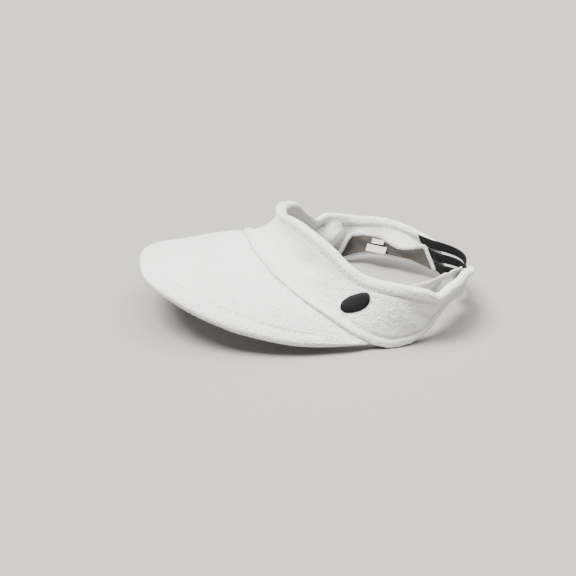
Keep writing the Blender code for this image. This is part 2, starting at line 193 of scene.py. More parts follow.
def drape(angle, share, lining):
    """How the slack cloth hangs away from the CAD wall near its back ends: forward, up and inward.

    The lining is pulled straighter than the terry, so the terry's free edge waves on its own.
    """
    near = ease(angle / 40)
    far = ease(-angle / 40)
    low = 1 - share
    share = 0 * share if lining else share
    up = 0.0045 * near * ease((angle - 84) / 24) * low
    up += -0.0038 * near * bell((angle - 96.5) / 6.5) * share
    up += 0.0032 * near * bell((angle - 128) / 15) * share
    up += -0.0012 * far * ease((-angle - 120) / 20) * low
    up += -0.0026 * bell((angle + 61) / 4.5) * share + 0.0010 * bell((angle + 72) / 7.0) * share
    up += (0.0030 + 0.0014 * ease(-angle / 10)) * bell((np.abs(angle) - 41) / 12) * ease(share / 0.9)
    up += -0.0042 * bell((angle + 8) / 17) * ease((share - 0.55) / 0.45)
    forward = 0.0035 * near * ease((angle - 128) / 26) * low
    forward = forward + 0.0030 * bell(angle / 22) * ease((share - 0.5) / 0.4)
    inward = 0.0040 * near * bell((angle - 126) / 17) * share
    return forward, up, inward


def band_point(angle, rise, offset, lining=False):
    """Points of the slumped band, for angles, rises and offsets of shapes that fit together."""
    angle, rise, offset = np.broadcast_arrays(*(np.asarray(v, float) for v in (angle, rise, offset)))
    low, high = band_bottom(angle), band_top(angle)
    height = np.linalg.norm(high - low, axis=-1)
    share = (rise / height)[..., None]
    step = 0.5
    ahead = band_bottom(angle + step) * (1 - share) + band_top(angle + step) * share
    behind = band_bottom(angle - step) * (1 - share) + band_top(angle - step) * share
    outward = unit(np.cross(ahead - behind, high - low))
    total = offset + slump(angle, share[..., 0])
    point = low + (high - low) * share + outward * total[..., None]
    forward, up, inward = drape(angle, share[..., 0], lining)
    point[..., 0] -= inward
    point[..., 1] -= forward
    point[..., 2] += up
    return point


def peak_edge(side):
    corner, front = band_bottom(np.array(CORNER)), band_bottom(np.array(0.0))
    turn = side * np.pi / 2
    power = 2 / PEAK_POWER
    x = PEAK_HALF_WIDTH * np.sign(turn) * np.abs(np.sin(turn)) ** power
    y = corner[1] + (front[1] - PEAK_REACH - corner[1]) * np.abs(np.cos(turn)) ** power
    blend = np.abs(side) ** 8
    x = x * (1 - blend) + np.sign(side) * corner[0] * blend
    heights = [h + FLOOR_LIFT for h in PEAK_HEIGHTS] + [corner[2]]
    return np.stack([x, y, through(PEAK_STATIONS + (1.0,), heights, np.abs(side))], -1)


def peak_length(side):
    return np.linalg.norm(peak_edge(side) - band_bottom(side * CORNER), axis=-1)


def peak_point(side, distance, lift):
    """Points of the peak; every argument is an array of one shape."""
    side, distance, lift = np.broadcast_arrays(*(np.asarray(v, float) for v in (side, distance, lift)))
    reach = (distance / peak_length(side))[..., None]

    def base(s):
        return band_bottom(s * CORNER) * (1 - reach) + peak_edge(s) * reach

    outward = peak_edge(side) - band_bottom(side * CORNER)
    normal = unit(np.cross(outward, base(side + 0.004) - base(side - 0.004)))
    return base(side) + normal * lift[..., None]


# ---- noise --------------------------------------------------------------------------------------
def scatter(ix, iy, iz, seed):
    """Repeatable value from 0 to 1 for each lattice corner."""
    h = (ix * 73856093) ^ (iy * 19349663) ^ (iz * 83492791) ^ (seed * 2654435761)
    h = (h ^ (h >> 13)) * 1274126177 & 0xFFFFFFFF
    return ((h ^ (h >> 16)) & 0xFFFF) / 65535.0


def noise(points, cell, seed):
    """Smooth lattice noise from -1 to 1."""
    p = points / cell
    whole = np.floor(p).astype(np.int64)
    t = ease(p - whole)
    total = np.zeros(points.shape[:-1])
    for dx in (0, 1):
        for dy in (0, 1):
            for dz in (0, 1):
                weight = (np.where(dx, t[..., 0], 1 - t[..., 0]) * np.where(dy, t[..., 1], 1 - t[..., 1])
                          * np.where(dz, t[..., 2], 1 - t[..., 2]))
                total += weight * scatter(whole[..., 0] + dx, whole[..., 1] + dy, whole[..., 2] + dz, seed)
    return total * 2 - 1


def terry_relief(points):
    """Loops of the pile, with slower unevenness under them."""
    loops = noise(points, LOOP, 1) + 0.5 * noise(points, LOOP * 0.62, 2)
    return PILE * loops + 0.00009 * noise(points, 0.006, 3) + 0.00028 * noise(points, 0.021, 4)


# ---- meshes -------------------------------------------------------------------------------------
def surface_normals(grid, closed):
    """Normals of a grid of points (rings, ring points, 3); rings close on themselves if closed."""
    along = np.gradient(grid, axis=0)
    if closed:
        across = np.roll(grid, -1, axis=1) - np.roll(grid, 1, axis=1)
    else:
        across = np.gradient(grid, axis=1)
    normal = np.cross(across, along)
    return normal / np.maximum(np.linalg.norm(normal, axis=-1, keepdims=True), 1e-12)


def make_mesh(name, points, faces, mat):
    mesh = bpy.data.meshes.new(name)
    mesh.from_pydata([tuple(p) for p in points], [], faces)
    bm = bmesh.new()
    bm.from_mesh(mesh)
    bmesh.ops.recalc_face_normals(bm, faces=bm.faces)
    bm.to_mesh(mesh)
    bm.free()
    for face in mesh.polygons:
        face.use_smooth = len(face.vertices) == 4
    mesh.materials.append(mat)
    obj = bpy.data.objects.new(name, mesh)
    bpy.context.scene.collection.objects.link(obj)
    return obj


def tube_faces(rings, count, first=0, caps=True):
    """Quads between rings of points, with one many-sided face at each end if caps."""
    faces = []
    for i in range(rings - 1):
        a, b = first + i * count, first + (i + 1) * count
        for j in range(count):
            k = (j + 1) % count
            faces.append((a + j, a + k, b + k, b + j))
    if caps:
        faces.append(tuple(range(first, first + count)))
        faces.append(tuple(range(first + (rings - 1) * count, first + rings * count)))
    return faces


def tube_grid(name, grid, mat):
    """Closed body from a grid of rings."""
    rings, count = grid.shape[:2]
    return make_mesh(name, grid.reshape(-1, 3), tube_faces(rings, count), mat)


def even_angles(start, end, spacing):
    """Angles whose places on the middle of the wall are evenly spaced."""
    fine = np.linspace(start, end, 2000)
    middle = (band_bottom(fine) + band_top(fine)) / 2
    length = np.concatenate([[0], np.cumsum(np.linalg.norm(np.diff(middle, axis=0), axis=1))])
    count = int(length[-1] / (spacing * QUICK_CELLS)) + 2
    return np.interp(np.linspace(0, length[-1], count), length, fine)


def stitches(name, path, normals, mat, stitch=0.0026, gap=0.0007, radius=0.00026, sides=6):
    """Row of separate stitches along a path: each a short thread that dives into the cloth."""
    step = np.linalg.norm(np.diff(path, axis=0), axis=1)
    length = np.concatenate([[0], np.cumsum(step)])
    pitch = stitch + gap
    count = int(length[-1] / pitch)
    points, faces = [], []
    around = np.linspace(0, 2 * np.pi, sides, endpoint=False)
    for n in range(count):
        s = n * pitch + np.linspace(0, stitch, 7)
        centre = np.stack([np.interp(s, length, path[:, k]) for k in range(3)], -1)
        up = unit(np.stack([np.interp(s, length, normals[:, k]) for k in range(3)], -1))
        arch = np.sin(np.linspace(0, np.pi, 7))
        centre = centre + up * (arch * 0.00045 - 0.00030)[:, None]
        ahead = unit(np.gradient(centre, axis=0))
        side = unit(np.cross(ahead, up))
        lift = unit(np.cross(side, ahead))
        size = radius * (0.45 + 0.55 * np.sqrt(arch))
        first = len(points)
        for i in range(7):
            for a in around:
                points.append(centre[i] + size[i] * (side[i] * np.cos(a) + lift[i] * np.sin(a)))
        faces += tube_faces(7, sides, first)
    return make_mesh(name, points, faces, mat)


# ---- materials ----------------------------------------------------------------------------------
def new_material(name, colour, roughness, sheen=0.0):
    mat = bpy.data.materials.new(name)
    mat.use_nodes = True
    shader = mat.node_tree.nodes["Principled BSDF"]
    shader.inputs["Base Color"].default_value = (*colour, 1)
    shader.inputs["Roughness"].default_value = roughness
    shader.inputs["Sheen Weight"].default_value = sheen
    shader.inputs["Sheen Roughness"].default_value = 0.6
    shader.inputs["Specular IOR Level"].default_value = 0.2
    return mat


def texture(mat, kind, scale, **settings):
    """Add a texture node fed with object coordinates."""
    nodes, links = mat.node_tree.nodes, mat.node_tree.links
    place = nodes.get("Texture Coordinate") or nodes.new("ShaderNodeTexCoord")
    node = nodes.new(kind)
    node.inputs["Scale"].default_value = scale
    for key, value in settings.items():
        node.inputs[key].default_value = value
    links.new(place.outputs["Object"], node.inputs["Vector"])
    return node


def ramp(mat, source, low, high, dark, light):
    """Colour between dark and light as source goes from low to high."""
    nodes, links = mat.node_tree.nodes, mat.node_tree.links
    node = nodes.new("ShaderNodeValToRGB")
    node.color_ramp.elements[0].position = low
    node.color_ramp.elements[1].position = high
    node.color_ramp.elements[0].color = (*dark, 1)
    node.color_ramp.elements[1].color = (*light, 1)
    links.new(source, node.inputs["Fac"])
    return node.outputs["Color"]


def multiply(mat, a, b):
    node = mat.node_tree.nodes.new("ShaderNodeMix")
    node.data_type = "RGBA"
    node.blend_type = "MULTIPLY"
    node.inputs["Factor"].default_value = 1.0
    mat.node_tree.links.new(a, node.inputs["A"])
    mat.node_tree.links.new(b, node.inputs["B"])
    return node.outputs["Result"]


def bump(mat, source, distance, strength, below=None):
    node = mat.node_tree.nodes.new("ShaderNodeBump")
    node.inputs["Distance"].default_value = distance
    node.inputs["Strength"].default_value = strength
    mat.node_tree.links.new(source, node.inputs["Height"])
    if below is not None:
        mat.node_tree.links.new(below, node.inputs["Normal"])
    return node.outputs["Normal"]


def shader_link(mat, source, socket):
    shader = mat.node_tree.nodes["Principled BSDF"]
    mat.node_tree.links.new(source, shader.inputs[socket])


def terry_material():
    """Looped cotton pile: loops as cells, hollows between them painted a little darker as painted shade,
    faint ageing.
    """
    mat = new_material("terry_cloth", (0.86, 0.86, 0.83), 1.0, sheen=0.35)
    loops = texture(mat, "ShaderNodeTexVoronoi", 950.0)
    fluff = texture(mat, "ShaderNodeTexNoise", 1900.0, Detail=3.0)
    ageing = texture(mat, "ShaderNodeTexNoise", 28.0, Detail=4.0)
    # painted shade: the hollows between the loops are coloured down to 0.86 of the loop tops
    painted_loop_shade = ramp(mat, loops.outputs["Distance"], 0.30, 0.85, (1, 1, 1), (0.86, 0.86, 0.84))
    cast = ramp(mat, ageing.outputs["Fac"], 0.30, 0.70, (0.83, 0.83, 0.80), (0.89, 0.89, 0.865))
    shader_link(mat, multiply(mat, cast, painted_loop_shade), "Base Color")
    pile = bump(mat, loops.outputs["Distance"], -0.0006, 0.7)
    shader_link(mat, bump(mat, fluff.outputs["Fac"], 0.0003, 0.6, pile), "Normal")
    return mat


def woven_material(name, dark, light, thread_scale, roughness=0.9, sheen=0.1):
    """Fine plain weave: crossing wave textures, with slow colour variation."""
    mat = new_material(name, light, roughness, sheen)
    warp = texture(mat, "ShaderNodeTexWave", thread_scale, Distortion=1.5)
    weft = texture(mat, "ShaderNodeTexWave", thread_scale, Distortion=1.5)
    weft.bands_direction = "Z"
    slow = texture(mat, "ShaderNodeTexNoise", 60.0, Detail=3.0)
    height = multiply(mat, warp.outputs["Color"], weft.outputs["Color"])
    shader_link(mat, ramp(mat, slow.outputs["Fac"], 0.3, 0.7, dark, light), "Base Color")
    shader_link(mat, bump(mat, height, 0.0002, 0.5), "Normal")
    return mat


def elastic_material():
    """Black ribbed elastic: fine ribs across, slightly worn and dusty in slow random patches."""
    mat = new_material("ribbed_elastic", (0.005, 0.005, 0.0055), 0.8)
    ribs = texture(mat, "ShaderNodeTexWave", 420.0, Distortion=0.4)
    slow = texture(mat, "ShaderNodeTexNoise", 150.0, Detail=4.0)
    shader_link(mat, ramp(mat, slow.outputs["Fac"], 0.35, 0.75, (0.003, 0.003, 0.0035),
                          (0.010, 0.0095, 0.0095)), "Base Color")
    shader_link(mat, bump(mat, ribs.outputs["Fac"], 0.0003, 0.6), "Normal")
    return mat


def thread_material(name, dark, light, roughness, sheen):
    """Twisted sewing thread."""
    mat = new_material(name, light, roughness, sheen)
    twist = texture(mat, "ShaderNodeTexNoise", 2600.0, Detail=2.0)
    shader_link(mat, ramp(mat, twist.outputs["Fac"], 0.35, 0.65, dark, light), "Base Color")
    shader_link(mat, bump(mat, twist.outputs["Fac"], 0.0001, 0.6), "Normal")
    return mat


def board_material():
    """Translucent flexible board, faintly mottled."""
    mat = new_material("peak_board_plastic", (0.80, 0.79, 0.75), 0.45)
    mottle = texture(mat, "ShaderNodeTexNoise", 90.0, Detail=5.0)
    shader_link(mat, ramp(mat, mottle.outputs["Fac"], 0.3, 0.7, (0.74, 0.73, 0.69), (0.82, 0.81, 0.77)),
                "Base Color")
    shader_link(mat, bump(mat, mottle.outputs["Fac"], 0.0002, 0.2), "Normal")
    return mat


# ---- the crown band -----------------------------------------------------------------------------
def terry_profile(angle):
    """Cross-section of the folded terry strip at each angle: rises and offsets, anticlockwise."""
    height = wall_height(angle)[:, None]
    side = np.abs(angle)[:, None]
    hem_low = height - HEM
    at_back = ease((side - 60) / 8)         # the bottom hem starts where the peak ends
    count = int(FACE_SPAN / (CELL * QUICK_CELLS))
    face = np.linspace(0, 1, count)[None, :]
    low, top_round = np.full_like(height, 0.0012), 0.0026
    rise = low + (height - top_round - low) * face
    groove = bell((rise - hem_low) / 0.0009)
    from_seam = np.clip((rise - hem_low) / HEM, 0, 1)
    from_top = np.clip((height - rise) / HEM, 0, 1)
    hem_puff = np.sqrt(from_seam * from_top) * 2
    low_groove = bell((rise - BOTTOM_HEM) / 0.0009) * at_back
    low_share = np.clip(rise / BOTTOM_HEM, 0, 1)
    low_puff = np.sqrt(low_share * (1 - low_share)) * 2
    welt = 0.0030 * bell((rise - 0.0016) / 0.0021) - 0.0005 * bell((rise - 0.0052) / 0.0012)
    welt = (1 - at_back) * welt
    outer = 0.0013 * hem_puff - 0.0011 * groove - 0.0009 * low_groove
    outer = outer + 0.0008 * low_puff * at_back + welt
    back_hem = ease((rise - hem_low + 0.0006) / 0.0008)
    back_low = ease((BOTTOM_HEM + 0.0006 - rise) / 0.0008) * at_back
    inner = -0.0019 - 0.0022 * back_hem - 0.0015 * back_low
    swell = (angle[:, None] + 74.0 + 10 * (rise / height - 0.6)) / 11.0
    reach = swell ** 2 + ((rise / height - 0.53) / 0.31) ** 2
    inner = inner - 0.0085 * np.clip(1 - reach, 0, 1) ** 0.55
    turn = np.linspace(0, np.pi, 9)[None, 1:-1]
    top_mid, top_half = (outer[:, -1:] + inner[:, -1:]) / 2, (outer[:, -1:] - inner[:, -1:]) / 2
    top_rise = height - top_round + top_round * np.sin(turn)
    top_off = top_mid + top_half * np.cos(turn)
    low_mid, low_half = (outer[:, :1] + inner[:, :1]) / 2, (outer[:, :1] - inner[:, :1]) / 2
    low_rise = low - low * np.sin(turn)
    low_off = low_mid - low_half * np.cos(turn)
    inner_rise = rise[:, ::-2]              # the inner face needs fewer points
    rises = np.concatenate([rise, top_rise, inner_rise, low_rise], axis=1)
    offsets = np.concatenate([outer, top_off, inner[:, ::-2], low_off], axis=1)
    return rises, offsets


def close_ends(angle, rises, offsets):
    """Round off the strip's thickness and height over the last millimetres before its back ends."""
    reach = np.clip((BAND_END - np.abs(angle)) / 2.6, 0, 1)[:, None]
    shrink = np.sqrt(np.clip(1 - (1 - reach) ** 2, 0.02, 1))
    middle = offsets.mean(axis=1, keepdims=True)
    half_rise = wall_height(angle)[:, None] / 2
    inset = 0.0012 * (1 - shrink)
    rises = half_rise + (rises - half_rise) * (1 - inset / half_rise)
    return rises, middle + (offsets - middle) * shrink


def terry_band(mat):
    """One strip of terry from back end to back end, kept as two pieces that share a hidden edge."""
    left_angles = even_angles(CUT, BAND_END, CELL)
    right_angles = even_angles(CUT, -BAND_END, CELL)
    angles = np.concatenate([right_angles[:0:-1], left_angles])
    rises, offsets = close_ends(angles, *terry_profile(angles))
    grid = band_point(angles[:, None], rises, offsets)
    normal = surface_normals(grid, closed=True)
    centre = grid.mean(axis=1, keepdims=True)
    facing = np.sign(((grid - centre) * normal).sum(-1).mean())
    grid = grid + normal * facing * terry_relief(grid)[..., None]
    cut = len(right_angles) - 1
    parts = []
    for name, part in (("terry_band_left", slice(cut, None)), ("terry_band_right", slice(0, cut + 1))):
        parts.append(tube_grid(name, grid[part], mat))
    return parts


def sweat_share(angle):
    """Height of the sweatband's free edge as a share of the wall, wavy and different on each side."""
    side = np.abs(angle)
    left = through((0, 50, 70, 82, 90, 98, 106, 114, 122, 130, 140, 150, 157, 163),
                   (0.64, 0.62, 0.78, 0.94, 0.99, 0.98, 0.91, 0.76, 0.58, 0.50, 0.62, 0.83, 0.88, 0.88), side)
    right = through((0, 45, 60, 68, 76, 82, 85, 87, 89, 94,
                     103, 112, 118, 124, 129, 136, 144, 150, 154, 163),
                    (0.64, 0.62, 0.50, 0.22, 0.08, 0.12, 0.24, 0.40, 0.48, 0.48,
                     0.46, 0.43, 0.34, 0.25, 0.25, 0.36, 0.52, 0.65, 0.72, 0.72), side)
    return np.where(angle > 0, left, right)


def sweat_offset(angle, share):
    """Outer face of the sweatband: sewn at the bottom and the ends, pulled straight between."""
    side = np.abs(angle)
    left = through((0, 80, 88, 95, 105, 115, 125, 135, 145, 152, 158, 163),
                   (0.0, 0.0003, 0.0008, 0.0022, 0.0046, 0.0068,
                    0.0076, 0.0072, 0.0056, 0.0034, 0.0014, 0.0009), side)
    right = through((0, 66, 78, 86, 92, 110, 128, 146, 154, 163),
                    (0.0, 0.0004, 0.0020, 0.0034, 0.0016,
                     0.0014, 0.0036, 0.0026, 0.0012, 0.0009), side)
    loose = np.where(angle > 0, left, right) * ease(share / np.maximum(sweat_share(angle), 0.1))
    return -0.0050 - loose


def sweat_grid(angles):
    """Closed cross-sections of the sweatband."""
    high = (sweat_share(angles) * wall_height(angles))[:, None]
    up = np.linspace(0, 1, max(int(0.024 / (COARSE * 0.7 * QUICK_CELLS)), 6))[None, :]
    rise = SEWN_LOW + (high - SEWN_LOW) * up
    share = rise / wall_height(angles)[:, None]
    outer = sweat_offset(angles[:, None], share)
    rises = np.concatenate([rise, rise[:, ::-1]], axis=1)
    offsets = np.concatenate([outer, outer[:, ::-1] - SWEAT_THICK], axis=1)
    grid = band_point(angles[:, None], rises, offsets, lining=True)
    ripple = 0.00035 * noise(grid, 0.008, 7) + 0.0002 * noise(grid, 0.0035, 8)
    normal = surface_normals(grid[:, :up.size], closed=False)
    normal = np.concatenate([normal, normal[:, ::-1]], axis=1)
    return grid + normal * ripple[..., None]


def sweatband(mat, facing_mat, tape_mat):
    """Sweatband and the tape that binds its free edge, each as two pieces joined at CUT."""
    pieces = []
    for side, end in SWEAT_ENDS:
        angles = even_angles(CUT, end, COARSE * 0.7)
        cloth = tube_grid(f"sweatband_cloth_{side}", sweat_grid(angles), mat)
        # its back, towards the terry, gets the cloth's pale colour; its inner face gets a dark copy of the
        # same cloth, which is painted shade
        cloth.data.materials.append(facing_mat)
        ring = len(cloth.data.vertices) // len(angles)
        for face in cloth.data.polygons:
            behind = all(v % ring < ring // 2 for v in face.vertices)
            face.material_index = 1 if behind else 0
        high = sweat_share(angles) * wall_height(angles)
        # the tape runs along the free edge, round the corner and down the end
        down = np.linspace(high[-1] - 0.0012, 0.0022, 24)
        angles = np.concatenate([angles[:-1], np.full_like(down, end + np.sign(end) * 0.25)])
        rise = np.concatenate([high[:-1] + TAPE_RADIUS * 0.6, down])
        across = sweat_offset(angles, rise / wall_height(angles)) - SWEAT_THICK / 2
        middle = band_point(angles, rise, across, lining=True)
        outward = band_point(angles, rise, across + 0.001, lining=True) - middle
        tape = tube_along(f"sweatband_edge_{side}", middle, outward, TAPE_RADIUS, 1.5, tape_mat)
        pieces.append((cloth, tape))
    return pieces


def tube_along(name, path, outward, radius, tall, mat, sides=12, relief=0.00012):
    """Soft oval tube along a path, tall times as wide across the cloth's face as through it."""
    ahead = unit(np.gradient(path, axis=0))
    up = unit(np.cross(outward, ahead))
    side = np.cross(ahead, up)
    turn = np.linspace(0, 2 * np.pi, sides, endpoint=False)
    rim = np.ones(len(path))
    rim[:3] = rim[-3:][::-1] = (0.4, 0.75, 0.95)
    grid = (path[:, None] + rim[:, None, None] * radius
            * (side[:, None] * np.cos(turn)[None, :, None]
               + tall * up[:, None] * np.sin(turn)[None, :, None]))
    out = unit(grid - path[:, None])
    grid = grid + out * (relief * noise(grid, 0.0012, 9))[..., None]
    return tube_grid(name, grid, mat)


def front_pad(mat):
    """Interlining between the terry and the sweatband at the front."""
    angles = even_angles(-60, 60, COARSE)
    high = (sweat_share(angles) * wall_height(angles))[:, None] - 0.0022
    up = np.linspace(0, 1, 12)[None, :]
    rise = 0.0034 + (high - 0.0034) * up
    rises = np.concatenate([rise, rise[:, ::-1]], axis=1)
    offsets = np.concatenate([rise * 0 - 0.0026, rise * 0 - 0.0038], axis=1)
    return tube_grid("front_interlining", band_point(angles[:, None], rises, offsets), mat)


def band_seam(name, start, end, drop, mat, from_top=True):
    """Stitches along the band, a drop below its top edge or above its bottom edge."""
    angles = even_angles(start, end, 0.0015)
    height = wall_height(angles)
    rise = height - drop if from_top else np.full_like(height, drop)
    path = band_point(angles, rise, np.full_like(rise, -SEAM_SINK))
    normals = band_point(angles, rise, OUTWARD_STEP) - band_point(angles, rise, 0.0)
    return stitches(name, path, normals, mat)


def end_seam(name, sign, mat):
    """Stitches up the back end, through the elastic."""
    rise = np.linspace(0.0030, float(wall_height(np.array(sign * 158.0))) - 0.0020, 30)
    angles = np.full_like(rise, sign * TACK_ANGLE)
    path = band_point(angles, rise, np.full_like(rise, 0.0003))
    normals = band_point(angles, rise, OUTWARD_STEP) - band_point(angles, rise, 0.0)
    return stitches(name, path, normals, mat)


# ---- the peak -----------------------------------------------------------------------------------
def peak_relief(side, distance, length):
    """Soft unevenness of the peak and the groove that its topstitching pulls in."""
    groove = -0.0006 * bell((length - distance - TOPSTITCH_INSET) / 0.0009)
    groove = groove * ease((0.86 - np.abs(side)) / 0.05)
    quilt = 0.00045 * bell((length - distance - TOPSTITCH_INSET * 0.5) / 0.0045)
    return groove + quilt * ease((0.93 - np.abs(side)) / 0.08)


def peak_cover(name, sign, spacing, mat):
    """Terry over (sign 1) or under (sign -1) the board, rolled together at the edge."""
    count = int(0.31 / (spacing * QUICK_CELLS))
    side = np.linspace(-0.992, 0.992, count)
    side = np.sign(side) * np.abs(side) ** 0.92
    length = peak_length(side)[:, None]
    across = max(int(0.070 / (spacing * QUICK_CELLS)), 20)
    t = np.linspace(0, 1, across)[None, :]
    start = np.minimum(0.0004, 0.1 * length)
    distance = start + (length - start) * t
    edge = np.clip((length - distance) / np.minimum(0.0034, 0.4 * length), 0, 1)
    lift = 0.00015 + (HALF_PEAK - 0.00015) * np.sqrt(np.clip(1 - (1 - edge) ** 2, 0, 1))
    thin = ease((0.992 - np.abs(side)) / 0.03)[:, None] * 0.6 + 0.4
    lift = lift * thin * (0.35 + 0.65 * ease((distance - start) / 0.009))
    depth = 1.0 if sign > 0 else 0.7
    lift = lift + depth * peak_relief(side[:, None], distance, length)
    outer = peak_point(side[:, None], distance, sign * lift)
    normal = surface_normals(outer, closed=False)
    facing = np.sign(normal[count // 2, across // 2, 2]) * sign
    pile = terry_relief(outer + (0, 0, 0.3)) * np.clip(edge * 3, 0.25, 1)
    outer = outer + normal * facing * pile[..., None]
    between = distance[:, ::-6][:, 1:-1]
    back = np.concatenate([distance[:, -1:] - 0.0002, between, distance[:, :1]], axis=1)
    near_edge = np.clip((length - back) / np.minimum(0.0060, 0.6 * length), 0, 1)
    under = 0.0001 + 0.00095 * ease(near_edge) * thin
    inner = peak_point(side[:, None], back, sign * under)
    return tube_grid(name, np.concatenate([outer, inner], axis=1), mat)


def peak_stitches(mat, sign, name):
    side = np.linspace(-0.82, 0.82, 500)
    length = peak_length(side)
    lift = np.full_like(side, sign * (HALF_PEAK - 0.0004))
    path = peak_point(side, length - TOPSTITCH_INSET, lift)
    normals = peak_point(side, length - TOPSTITCH_INSET, lift + sign * 0.01) - path
    return stitches(name, path, normals, mat, stitch=0.0030, gap=0.0008)


# ---- elastic, mark and labels -------------------------------------------------------------------
def strand_run(low):
    """Cross-sections of one elastic strand from its sewn right end to its sewn left end."""
    rim = np.linspace(0, 1, 9)
    rise = np.concatenate([low + STRAND_WIDTH * rim, low + STRAND_WIDTH * rim[::-1]])
    half = STRAND_THICK * 0.38 + 0.00016 * np.sqrt(np.sin(np.pi * rim))
    offset = STRAND_OFFSET + np.concatenate([half, -half[::-1]])
    sewn = np.linspace(POCKET_START, BAND_END - 1.0, 24)[:, None]
    right = band_point(-sewn, rise[None], offset[None], lining=True)
    left = band_point(sewn, rise[None], offset[None], lining=True)[::-1]
    t = np.linspace(0, 1, 85)[1:-1, None, None]
    free = right[-1] * (1 - t) + left[0] * t
    free[..., 1] += STRAND_BULGE * (4 * t * (1 - t))[..., 0]
    return np.concatenate([right, free, left])


def strand(level, low, mat):
    """The two halves of a strand, lapped in the middle."""
    grid = strand_run(low)
    across = grid[..., 0].mean(axis=1)
    left, right = grid[across > -LAP], grid[across < LAP].copy()
    inside = across[across < LAP] > -LAP + 0.0006
    centre = right.mean(axis=1, keepdims=True)
    right = np.where(inside[:, None, None], centre + (right - centre) * 0.86, right)
    return tube_grid(f"elastic_{level}_left", left, mat), tube_grid(f"elastic_{level}_right", right, mat)


def mark_point(x, y, offset):
    """Point of the slanted mark: x along it from -1 to 1, y across it in metres."""
    centre = MARK_SHARE * float(wall_height(np.array(MARK_ANGLE)))
    step = band_point(MARK_ANGLE + 1, centre, 0) - band_point(MARK_ANGLE, centre, 0)
    per_degree = float(np.linalg.norm(step))
    along = x * MARK_LENGTH / 2 + y * MARK_SLANT
    across = along * np.cos(MARK_TILT) - y * np.sin(MARK_TILT)
    up = along * np.sin(MARK_TILT) + y * np.cos(MARK_TILT)
    return band_point(MARK_ANGLE + across / per_degree, centre + up, offset)


def mark_half(x):
    """Half the mark's height at x."""
    return MARK_TALL / 2 * (1 - abs(x) ** 2.6) ** (1 / 2.2)


def mark(mat):
    """Plain slanted lozenge of satin stitch: close parallel threads, each a low arch."""
    centre = MARK_SHARE * float(wall_height(np.array(MARK_ANGLE)))
    normal = unit(band_point(MARK_ANGLE, centre, OUTWARD_STEP) - band_point(MARK_ANGLE, centre, 0.0))
    points, faces = [], []
    for n in range(MARK_THREADS):
        x = (n + 0.5) / MARK_THREADS * 2 - 1
        half = mark_half(x)
        y = np.linspace(-half, half, 11)
        arch = np.sqrt(np.clip(1 - (y / half) ** 2, 0, 1))
        path = mark_point(x, y, 0.0002 + 0.0009 * arch)
        ahead = unit(np.gradient(path, axis=0))
        sideways = unit(np.cross(ahead, normal))
        lift = np.cross(sideways, ahead)
        first = len(points)
        for i in range(len(path)):
            for a in np.linspace(0, 2 * np.pi, 6, endpoint=False):
                rim = sideways[i] * np.cos(a) + lift[i] * np.sin(a)
                points.append(path[i] + MARK_THREAD * rim)
        faces += tube_faces(len(path), 6, first)
    base_points, base_faces = mark_base(len(points))
    return make_mesh("embroidered_mark", points + base_points, faces + base_faces, mat)


def mark_base(first):
    """Dense underlay below the satin threads: its points, and its faces counted from first."""
    rings = []
    for x in np.linspace(-0.96, 0.96, 25):
        half = mark_half(x) * 0.95
        y = np.concatenate([np.linspace(-half, half, 9), np.linspace(half, -half, 9)])
        rings.append(mark_point(x, y, np.concatenate([np.full(9, 0.0007), np.full(9, -0.0006)])))
    grid = np.array(rings)
    return [p for ring in grid for p in ring], tube_faces(*grid.shape[:2], first)


def ribbon_label(name, node, mat, curl):
    """Satin ribbon in the place of a CAD label, slightly narrower, with waves and a curled free edge."""
    co = np.array([v.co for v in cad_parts[node].data.vertices])
    centre = co.mean(axis=0)
    spread = co - centre
    axes = np.linalg.svd(spread, full_matrices=False)[2]
    right, down, normal = axes
    if down[2] > 0:
        down = -down
    inward = np.array([0, CENTRE_Y, centre[2]]) - centre
    if normal @ inward < 0:
        normal = -normal
    width = np.ptp(spread @ right) * RIBBON_SHARE
    drop = np.ptp(spread @ down)
    u = np.linspace(-0.5, 0.5, 34)[:, None]
    v = np.linspace(0, 1, 18)
    v = np.concatenate([v, v[::-1]])[None, :]
    thick = np.where(np.arange(36) < 18, 1.0, -1.0)[None, :] * RIBBON_HALF
    lift = (curl * v ** 2.2 + RIBBON_WAVE * np.sin(u * 9 + v * 3) * v + RIBBON_BOW * u ** 2
            + RIBBON_CLEAR + thick)
    points = (centre + right * (u * width)[..., None] + down * ((v - 0.5) * drop)[..., None]
              + normal * lift[..., None])
    return tube_grid(name, points, mat)


# ---- stage --------------------------------------------------------------------------------------
def stage():
    """Pale floor that curves up far away and hides the horizon in the photo's view; sky, two lamps."""
    turn = np.linspace(0, 2 * np.pi, FLOOR_SIDES, endpoint=False)
    radii = np.linspace(FLOOR_FLAT, FLOOR_END, 12)
    heights = FLOOR_RIM * ((radii - FLOOR_FLAT) / (FLOOR_END - FLOOR_FLAT)) ** 2
    points = [(r * np.cos(t), r * np.sin(t), h) for r, h in zip(radii, heights) for t in turn]
    mat = new_material("floor_matte", (0.33, 0.318, 0.302), 0.9)
    faces = tube_faces(len(radii), FLOOR_SIDES, caps=False) + [tuple(range(FLOOR_SIDES))]
    floor = make_mesh("floor", points, faces, mat)
    world = bpy.data.worlds.new("soft_room")
    world.use_nodes = True
    sky = world.node_tree.nodes["Background"]
    sky.inputs["Color"].default_value = (0.90, 0.92, 0.95, 1)
    sky.inputs["Strength"].default_value = 0.24
    bpy.context.scene.world = world
    for name, place, spread, power in LAMPS:
        light = bpy.data.lights.new(name, "SUN")
        light.energy = power
        light.angle = spread
        lamp = bpy.data.objects.new(name, light)
        lamp.location = place
        lamp.rotation_euler = Vector(place).to_track_quat("Z", "Y").to_euler()
        bpy.context.scene.collection.objects.link(lamp)


